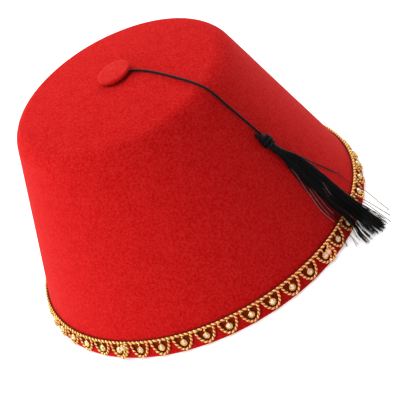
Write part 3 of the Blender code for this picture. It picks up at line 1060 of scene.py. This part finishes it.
skirt = {
    "threadWidth": 0.36,         # mm
    "threadPoints": 46,
    "threadSides": 3,
    "waviness": 1.1,
    "waves": 4.0,                # along a thread
    "wavesApart": 60.0,          # how far apart the threads read the noise that bends them
    "flyaway": 2.6,
    "rarity": 9.0,               # the higher it is, the fewer threads leave their lock
    "ragged": 0.09,              # how unevenly the ends are cut, as a share of the length
    "turnHeight": 18.0,          # below this the fan turns from the wall's face to the floor's
    "smoothing": 4,              # points for each row of the middle line
    "lookAhead": 0.02,           # of the line's length, to find its way
    "seed": 21,
    # middle line in mm, with half the depth of the bundle
    "rows": (
        {"place": (51.9, -54.5, 66.0), "deep": 1.5},
        {"place": (52.6, -54.3, 64.4), "deep": 1.5},
        {"place": (53.8, -54.3, 61.2), "deep": 1.5},
        {"place": (55.8, -54.5, 55.4), "deep": 1.4},
        {"place": (58.1, -54.7, 49.8), "deep": 1.3},
        {"place": (61.3, -55.2, 41.6), "deep": 1.3},
        {"place": (65.4, -56.2, 30.4), "deep": 1.3},
        {"place": (70.0, -57.4, 18.6), "deep": 1.3},
        {"place": (73.9, -59.2, 10.8), "deep": 1.2},
        {"place": (76.3, -61.4, 6.0), "deep": 1.1},
        {"place": (78.3, -64.7, 2.9), "deep": 1.0},
        {"place": (80.4, -69.4, 1.8), "deep": 1.0},
        {"place": (83.6, -77.0, 1.5), "deep": 0.9},
    ),
    # each lock's distance from the middle line and half its width, evenly along it from neck to tip
    "locks": (
        {"sides": (1.0, 0.9, 4.6, 6.2, 5.3, 4.6, 3.6), "half": (0.5, 0.6, 0.8, 0.8, 0.7, 0.7, 0.6),
         "threads": 28, "reach": 0.955},
        {"sides": (0.7, 0.6, 3.5, 4.8, 4.1, 3.3, 2.0), "half": (0.5, 0.7, 0.9, 0.9, 0.9, 0.8, 0.6),
         "threads": 32, "reach": 0.975},
        {"sides": (0.3, 0.3, 2.3, 3.3, 2.9, 2.0, 0.4), "half": (0.5, 0.7, 0.9, 0.9, 0.9, 0.8, 0.6),
         "threads": 32, "reach": 0.985},
        {"sides": (0.0, 0.1, 1.2, 1.9, 1.6, 0.7, -1.1), "half": (0.5, 0.7, 0.9, 0.9, 0.9, 0.8, 0.6),
         "threads": 32, "reach": 1.0},
        {"sides": (-0.2, -0.1, 0.1, 0.5, 0.1, -1.1, -3.5), "half": (0.5, 0.7, 0.9, 0.7, 0.6, 0.45, 0.4),
         "threads": 22, "reach": 0.98},
        {"sides": (-0.5, -0.3, -1.0, -1.7, -1.9, -3.1, -5.3), "half": (0.5, 0.7, 0.9, 0.8, 0.8, 0.5, 0.4),
         "threads": 16, "reach": 0.97},
        {"sides": (-0.6, -0.5, -2.1, -3.3, -4.1, -5.3, -8.4), "half": (0.5, 0.5, 0.7, 0.5, 0.5, 0.4, 0.4),
         "threads": 10, "reach": 1.0},
        {"sides": (-0.8, -0.7, -2.6, -4.5, -6.4, -7.7, -11.4),
         "half": (0.5, 0.5, 0.6, 0.6, 0.8, 0.9, 1.3), "threads": 25, "reach": 1.0},
        {"sides": (-0.9, -0.8, -3.0, -5.0, -7.8, -10.0, -14.0),
         "half": (0.3, 0.3, 0.4, 0.6, 0.6, 0.3, 0.4), "threads": 3, "reach": 0.95},
        {"sides": (0.9, 0.9, 5.0, 6.6, 6.6, 6.3, 4.1), "half": (0.3, 0.3, 0.3, 0.3, 0.4, 0.4, 0.4),
         "threads": 2, "reach": 0.97},
    ),
}


# Places, sideways and outward along the skirt: by the wall's face above and by the floor below
def skirtFrame():
    places = [Vector(row["place"]) for row in skirt["rows"]]
    steps = skirt["smoothing"] * (len(places) - 1)
    frames = []
    for step in range(steps + 1):
        share = step / steps
        place = between(places, share)
        ahead = wayAhead(places, share, skirt["lookAhead"])
        face = Vector((place.x, place.y, crown["rimRadius"] * math.tan(wallAngle))).normalized()
        onFloor = 1.0 - min(1.0, place.z / skirt["turnHeight"])
        face = face.lerp(Vector((0.0, 0.0, 1.0)), onFloor)
        sideways = face.cross(ahead).normalized()
        frames.append({"share": share, "place": place, "sideways": sideways,
                       "outward": ahead.cross(sideways).normalized(),
                       "deep": between([row["deep"] for row in skirt["rows"]], share)})
    return frames


def makeLockTree():
    tree, fed = startTree("tasselLocks", {
        "Thread width": "Float", "Waviness": "Float", "Flyaway": "Float", "Ragged": "Float",
        "Seed": "Int", "Material": "Material"})
    curves = geometryNode(tree, "MeshToCurve", {0: fed["Geometry"]})
    spaced = geometryNode(tree, "ResampleCurve", {"Curve": curves, "Count": skirt["threadPoints"]})
    feeds = {"Geometry": spaced, "Amount": named(tree, "threads")}
    copies = geometryNode(tree, "DuplicateElements", feeds, domain="SPLINE")
    # six numbers of chance for each thread
    for shift, label in enumerate(("chance", "luck")):
        feeds = {0: (-1.0, -1.0, -1.0), 1: (1.0, 1.0, 1.0), "Seed": plus(tree, fed["Seed"], float(shift))}
        dice = addNode(tree, "FunctionNodeRandomValue", feeds, data_type="FLOAT_VECTOR").outputs[0]
        copies = stored(tree, copies, label, dice, "FLOAT_VECTOR", "CURVE")
    turn, spread, cut = separated(tree, named(tree, "chance", "FLOAT_VECTOR"))
    stray, firstWave, secondWave = separated(tree, named(tree, "luck", "FLOAT_VECTOR"))
    walked = addNode(tree, "GeometryNodeSplineParameter").outputs
    angle = times(tree, turn, math.pi)
    reach = maths(tree, "SQRT", maths(tree, "ABSOLUTE", spread))
    aside = times(tree, times(tree, maths(tree, "COSINE", angle), reach), named(tree, "half"))
    deep = times(tree, times(tree, maths(tree, "SINE", angle), reach), named(tree, "deep"))
    # a few threads leave their lock, and more so towards their ends
    strength = times(tree, maths(tree, "POWER", maths(tree, "ABSOLUTE", stray), skirt["rarity"]),
                     maths(tree, "SIGN", stray))
    away = times(tree, times(tree, strength, fed["Flyaway"]), maths(tree, "POWER", walked["Factor"], 2.0))
    wavePlace = combined(tree, times(tree, walked["Factor"], skirt["waves"]),
                         *[times(tree, wave, skirt["wavesApart"]) for wave in (firstWave, secondWave)])
    waveX, waveY = separated(tree, noise(tree, wavePlace, scale=1.0, detail=1.0)["Color"])[:2]
    grow = times(tree, fed["Waviness"], times(tree, walked["Factor"], 2.0))
    aside = plus(tree, plus(tree, aside, away), times(tree, minus(tree, waveX, 0.5), grow))
    deep = plus(tree, deep, times(tree, minus(tree, waveY, 0.5), times(tree, grow, 0.5)))
    offset = vectorMaths(tree, "ADD", scaledVector(tree, named(tree, "sideways", "FLOAT_VECTOR"), aside),
                         scaledVector(tree, named(tree, "outward", "FLOAT_VECTOR"), deep))
    spreadOut = geometryNode(tree, "SetPosition", {"Geometry": copies, "Offset": offset})
    shorter = times(tree, maths(tree, "ABSOLUTE", cut), fed["Ragged"])
    end = minus(tree, named(tree, "reach"), shorter)
    trimmed = geometryNode(tree, "TrimCurve", {"Curve": spreadOut, "End": end}, mode="FACTOR")
    noted = stored(tree, trimmed, "along", walked["Length"])
    ring = geometryNode(tree, "CurvePrimitiveCircle", {
        "Resolution": skirt["threadSides"], "Radius": over(tree, fed["Thread width"], 2.0)})
    tube = geometryNode(tree, "CurveToMesh", {"Curve": noted, "Profile Curve": ring, "Fill Caps": True})
    endTree(tree, tube, fed["Material"])
    return tree


def makeSkirt():
    frames = skirtFrame()
    lines = []
    notes = {label: [] for label in ("sideways", "outward", "half", "deep", "threads", "reach")}
    for lock in skirt["locks"]:
        lines.append([(at["place"] + at["sideways"] * between(lock["sides"], at["share"])) * mm
                      for at in frames])
        for at in frames:
            notes["sideways"].append(at["sideways"])
            notes["outward"].append(at["outward"])
            notes["half"].append(between(lock["half"], at["share"]) * mm)
            notes["deep"].append(at["deep"] * mm)
            notes["threads"].append(float(lock["threads"]))
            notes["reach"].append(lock["reach"])
    return grown("tasselSkirt", guideLines("skirtGuides", lines, notes=notes), makeLockTree(), {
        "Thread width": skirt["threadWidth"] * mm,
        "Waviness": skirt["waviness"] * mm,
        "Flyaway": skirt["flyaway"] * mm,
        "Ragged": skirt["ragged"],
        "Seed": skirt["seed"],
        "Material": blackThread,
    })


tasselSkirt = makeSkirt()
print("skirt grown:", len(tasselSkirt.data.polygons), "faces")


# Loose threads: some lie on the wall, and some stand off over the rim to the floor

loose = {
    "width": 0.32,               # mm
    "glintWidth": 0.42,
    "pitch": 8.0,
    "fanThreads": 5,
    "fanPlaces": (0.3, 0.7),     # where a thread may lie in its share of the fan
    "fanSteps": 15,
    "fanLengths": (0.78, 0.84, 0.84, 1.0),
    "wander": 0.3,
    "sway": 0.55,                # radians for each step
    "pairBeside": {"azimuth": 0.004, "up": 0.25},  # radians and mm
    "seed": 8,
    # azimuth in degrees, and mm up the wall and out from it
    "fanEdges": (
        ((-45.1, 55.6, 1.6), (-45.0, 49.9, 0.9), (-44.2, 42.7, 0.6), (-43.0, 33.3, 0.5),
         (-42.0, 22.4, 0.5), (-41.7, 12.6, 1.8), (-42.0, 8.0, 2.4)),
        ((-45.0, 55.5, 1.4), (-45.4, 49.7, 0.8), (-45.8, 42.0, 0.4), (-46.3, 32.2, 0.4),
         (-46.2, 20.7, 0.4), (-46.0, 11.6, 1.8), (-46.4, 7.5, 2.4)),
    ),
    "wallPart": ((-42.0, 58.5, 1.6), (-39.6, 53.5, 1.6), (-37.0, 47.6, 1.4), (-35.2, 43.2, 0.9),
                 (-31.9, 35.4, 0.4), (-29.0, 27.5, 0.4), (-26.6, 20.1, 0.6)),
    # threads with a painted highlight: a pale colour stands in for the light on them
    "glintParts": (
        ((-44.9, 50.0, 1.2), (-44.8, 45.3, 0.9), (-45.4, 40.1, 0.7), (-46.2, 30.8, 0.6),
         (-46.7, 22.1, 0.6), (-46.0, 13.0, 1.2)),
        ((-43.9, 40.0, 1.2), (-43.5, 35.2, 1.0), (-43.6, 29.0, 0.9), (-43.9, 21.9, 0.9),
         (-43.8, 15.4, 1.2)),
        ((-44.5, 35.0, 0.8), (-44.9, 29.5, 0.6), (-45.4, 23.0, 0.6), (-45.5, 17.0, 0.9)),
        ((-41.3, 29.5, 3.6), (-41.6, 25.0, 3.4), (-42.6, 18.7, 3.2), (-42.2, 12.3, 3.6),
         (-41.8, 8.5, 4.0)),
        ((-39.6, 31.5, 3.8), (-40.2, 26.5, 3.6), (-40.4, 21.5, 3.5)),
        ((-36.5, 17.5, 4.0), (-36.2, 13.0, 4.4), (-36.4, 9.0, 5.0)),
    ),
    # the rest are places in mm
    "overRim": ((80.2, -39.9, 13.6), (83.2, -43.8, 11.2), (86.1, -48.2, 8.0), (88.7, -54.8, 4.0),
                (91.3, -62.2, 0.6)),
    "floorThreads": (
        ((70.2, -51.6, 27.0), (76.2, -49.4, 15.0), (79.6, -50.2, 11.0), (83.0, -52.8, 6.9),
         (86.8, -58.5, 2.7), (90.1, -66.4, 0.5)),
        ((70.6, -52.2, 26.0), (75.9, -50.6, 14.0), (79.1, -52.0, 9.9), (82.7, -55.2, 5.9),
         (85.8, -62.2, 2.2), (88.5, -71.6, 0.5)),
        ((71.0, -52.9, 25.0), (76.9, -53.0, 12.5), (79.9, -55.8, 8.6), (83.3, -60.2, 4.5),
         (85.9, -69.7, 0.7)),
        ((71.4, -53.2, 24.0), (77.6, -54.4, 11.5), (81.0, -58.3, 6.8), (83.6, -63.6, 3.2),
         (86.6, -70.4, 0.6)),
        ((60.6, -60.4, 20.0), (63.1, -63.6, 9.5), (63.2, -67.6, 5.2), (62.7, -70.6, 2.2),
         (62.4, -72.9, 0.5)),
        ((60.9, -60.1, 20.0), (63.6, -63.3, 9.6), (63.6, -67.4, 5.0), (63.0, -70.8, 2.0),
         (62.7, -72.4, 0.5)),
        ((62.6, -59.6, 20.0), (65.3, -62.8, 8.8), (65.9, -67.4, 4.6), (66.9, -71.2, 1.8),
         (66.8, -77.0, 0.5)),
        ((62.9, -59.2, 20.0), (65.8, -62.6, 8.8), (66.4, -67.0, 4.4), (67.4, -71.0, 1.6),
         (67.9, -76.2, 0.5)),
        ((60.0, -60.8, 20.0), (61.9, -64.9, 8.9), (61.9, -67.2, 5.0), (61.8, -68.4, 1.2)),
    ),
}


# A route in mm from places on the wall, with their azimuths in degrees
def wallRoute(places, beside=0.0, above=0.0):
    return [onWall(math.radians(azimuth) + beside, up + above, out) / mm for azimuth, up, out in places]


def looseThread(name, lines, width, material):
    return twistedThreads(name, lines, width, loose["pitch"], material, sides=4)


def makeLoose():
    dice = random.Random(loose["seed"])
    inner, outer = [[Vector(place) for place in edge] for edge in loose["fanEdges"]]
    lines = []
    for index in range(loose["fanThreads"]):
        share = (index + dice.uniform(*loose["fanPlaces"])) / loose["fanThreads"]
        shift = dice.uniform(-1, 1) * loose["wander"]
        length = dice.choice(loose["fanLengths"])
        edge = [start.lerp(end, share) for start, end in zip(inner, outer)]
        route = []
        for step in range(loose["fanSteps"] + 1):
            azimuth, up, out = between(edge, length * step / loose["fanSteps"])
            aside = shift * math.sin(step * loose["sway"]) / crown["rimRadius"]
            route.append(onWall(math.radians(azimuth) + aside, up, out))
        lines.append(route)
    lines.append(smoothPoints([*wallRoute(loose["wallPart"]), *loose["overRim"]]))
    lines += [smoothPoints(route) for route in loose["floorThreads"]]
    return looseThread("looseThreads", lines, loose["width"], blackThread)


# Threads painted pale where the light catches them: painted highlight
def makeGlintStrands():
    lines = [smoothPoints(wallRoute(part)) for part in loose["glintParts"]]
    return looseThread("dustyThreads", lines, loose["glintWidth"], glintThread)


# The thread on the wall lies beside a second one
def makePair():
    route = wallRoute(loose["wallPart"], loose["pairBeside"]["azimuth"], loose["pairBeside"]["up"])
    return looseThread("pairThread", [smoothPoints(route)], loose["width"], blackThread)


looseThreads = makeLoose()
dustyThreads = makeGlintStrands()
pairThread = makePair()
print("loose threads laid")


# Head: a knot wound over the skirt's neck, with the cord's short end left standing

head = {
    "rows": (
        {"place": (50.12, -52.2, 72.0), "radius": 0.9},
        {"place": (50.5, -53.5, 70.2), "radius": 1.9},
        {"place": (51.2, -54.5, 67.8), "radius": 2.2},
        {"place": (51.9, -54.6, 65.4), "radius": 1.9},
        {"place": (52.8, -54.4, 62.8), "radius": 1.7},
        {"place": (54.1, -54.35, 59.8), "radius": 1.7},
        {"place": (55.2, -54.4, 57.4), "radius": 0.4},
    ),
    "stub": ((47.5, -53.0, 73.7), (48.6, -53.3, 71.3), (49.9, -54.4, 68.2)),
    "stubWidth": 2.3,
    "stubPitch": 4.2,
    "stubSpacing": 0.6,
    "lookAhead": 0.03,           # of the line's length, to find its way
    "coreRings": 20,
    "coreSides": 20,
    # start and end are shares of the rows' line
    "knot": {"start": 0.1, "end": 0.47, "turns": 3.8, "width": 1.5, "pitch": 3.0},
    "whipping": {"start": 0.48, "end": 0.87, "turns": 14, "width": 0.42, "pitch": 8.0},
    "coilSteps": 16,             # for each turn
    "coilOut": 0.35,             # how far out a coil's middle is, as a share of its width
}


def headRing(share, turn, extra):
    places = [Vector(row["place"]) for row in head["rows"]]
    ahead = wayAhead(places, share, head["lookAhead"])
    aside = ahead.cross(Vector((0.0, 0.0, 1.0))).normalized()
    across = ahead.cross(aside).normalized()
    radius = between([row["radius"] for row in head["rows"]], share) + extra
    return (between(places, share) + (aside * math.cos(turn) + across * math.sin(turn)) * radius) * mm


def makeHeadCore():
    rings, sides = head["coreRings"], head["coreSides"]
    shape = bmesh.new()
    rows = [[shape.verts.new(headRing(ring / rings, math.tau * side / sides, 0.0))
             for side in range(sides)] for ring in range(rings + 1)]
    for upper, lower in zip(rows, rows[1:]):
        for side in range(sides):
            following = (side + 1) % sides
            shape.faces.new((upper[side], upper[following], lower[following], lower[side]))
    shape.faces.new(rows[0])
    shape.faces.new(rows[-1])
    bmesh.ops.recalc_face_normals(shape, faces=shape.faces)
    return finished("headCore", shape, blackThread, smooth=True)


def headCoil(values):
    steps = round(values["turns"] * head["coilSteps"])
    extra = values["width"] * head["coilOut"]
    return [headRing(values["start"] + (values["end"] - values["start"]) * step / steps,
                     math.tau * values["turns"] * step / steps, extra) for step in range(steps + 1)]


knot, whipping = head["knot"], head["whipping"]
headCore = makeHeadCore()
stubLine = smoothPoints(head["stub"], head["stubSpacing"])
headStub = twistedThreads("headStub", [stubLine], head["stubWidth"], head["stubPitch"], blackThread,
                          strands=3, sides=8)
headKnot = twistedThreads("headKnot", [headCoil(knot)], knot["width"], knot["pitch"], blackThread,
                          strands=3)
headWhipping = twistedThreads("headWhipping", [headCoil(whipping)], whipping["width"], whipping["pitch"],
                              blackThread, stepsPerTurn=20)
print("head tied")


# Floor, lights and backdrop

studio = {
    "floorColor": (0.93, 0.93, 0.925, 1.0),
    "worldColor": (0.95, 0.97, 1.0, 1.0),
    "worldStrength": 0.06,
    "mirrored": 0.7,
    "floorGlow": 0.36,
    "seenGlow": 0.48,
    "floorSize": 30.0,           # metres
    # in metres and watts
    "lights": {
        "topSoft": {"place": (-0.1, 0.0, 1.35), "size": 1.2, "power": 12.5},
        "backLeft": {"place": (-0.85, 0.85, 0.9), "size": 0.8, "power": 11.0},
        "backRight": {"place": (0.85, 0.85, 0.8), "size": 0.8, "power": 10.2},
        "lowFront": {"place": (-1.0, -0.75, 0.4), "size": 0.6, "power": 6.2},
        "lowLeft": {"place": (-1.25, -0.1, 0.35), "size": 0.6, "power": 4.0},
    },
}


def makeStudio():
    scene = bpy.context.scene
    scene.view_settings.view_transform = "Standard"
    world = bpy.data.worlds.new("studio")
    world.use_nodes = True
    background = world.node_tree.nodes["Background"]
    background.inputs["Color"].default_value = studio["worldColor"]
    # what shines mirrors a bright room, which lights the rest much less
    glossy = addNode(world.node_tree, "ShaderNodeLightPath").outputs["Is Glossy Ray"]
    strength = mapped(world.node_tree, glossy, low=studio["worldStrength"], high=studio["mirrored"])
    world.node_tree.links.new(strength, background.inputs["Strength"])
    scene.world = world
    shape = bmesh.new()
    bmesh.ops.create_grid(shape, x_segments=1, y_segments=1, size=studio["floorSize"] / 2)
    material, tree, shader = newMaterial("paleFloor", {
        "Base Color": studio["floorColor"], "Roughness": 0.7, "Specular IOR Level": 0.2,
        "Emission Color": studio["floorColor"]})
    # the camera sees the floor a little brighter than it lights the rest
    seen = addNode(tree, "ShaderNodeLightPath").outputs["Is Camera Ray"]
    glow = mapped(tree, seen, low=studio["floorGlow"], high=studio["seenGlow"])
    tree.links.new(glow, shader.inputs["Emission Strength"])
    finished("floor", shape, material)
    target = Vector((0.0, 0.0, crown["height"] / 2 * mm))
    for name, values in studio["lights"].items():
        data = bpy.data.lights.new(name, "AREA")
        data.size = values["size"]
        data.energy = values["power"]
        lamp = linked(name, data)
        place = Vector(values["place"])
        turned = (place - target).to_track_quat("Z", "Y").to_matrix().to_4x4()
        lamp.matrix_world = Matrix.Translation(place) @ turned


makeStudio()
print("studio lit")


# What each piece stands for, and the slot listed for its finish; each piece is hung on the root, and the
# part that it stands for is hidden

replaced = {
    crownFelt: ("felt_crown", "red_felt"),
    buttonFelt: ("top_button", "red_felt"),
    braidHeader: ("stone_braid", "gold_braid"),
    braidLoops: ("stone_braid", "gold_braid"),
    braidStems: ("stone_braid", "gold_braid"),
    stoneCups: ("stone_braid", "gold_braid"),
    cutStones: ("stone_braid", None),
    braidEdge: ("stone_braid", None),
    scallopNet: ("stone_braid", None),
    tasselCord: ("tassel_cord", "black_thread"),
    tasselSkirt: ("tassel", "black_thread"),
    looseThreads: ("tassel", "black_thread"),
    pairThread: ("tassel", "black_thread"),
    dustyThreads: ("tassel", None),
    headCore: ("tassel", "black_thread"),
    headStub: ("tassel", "black_thread"),
    headKnot: ("tassel", "black_thread"),
    headWhipping: ("tassel", "black_thread"),
}
for piece, (node, slotName) in replaced.items():
    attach(piece, "root")
    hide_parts(node)

print("pieces:", sum(len(piece.data.polygons) for piece in replaced), "faces in all")
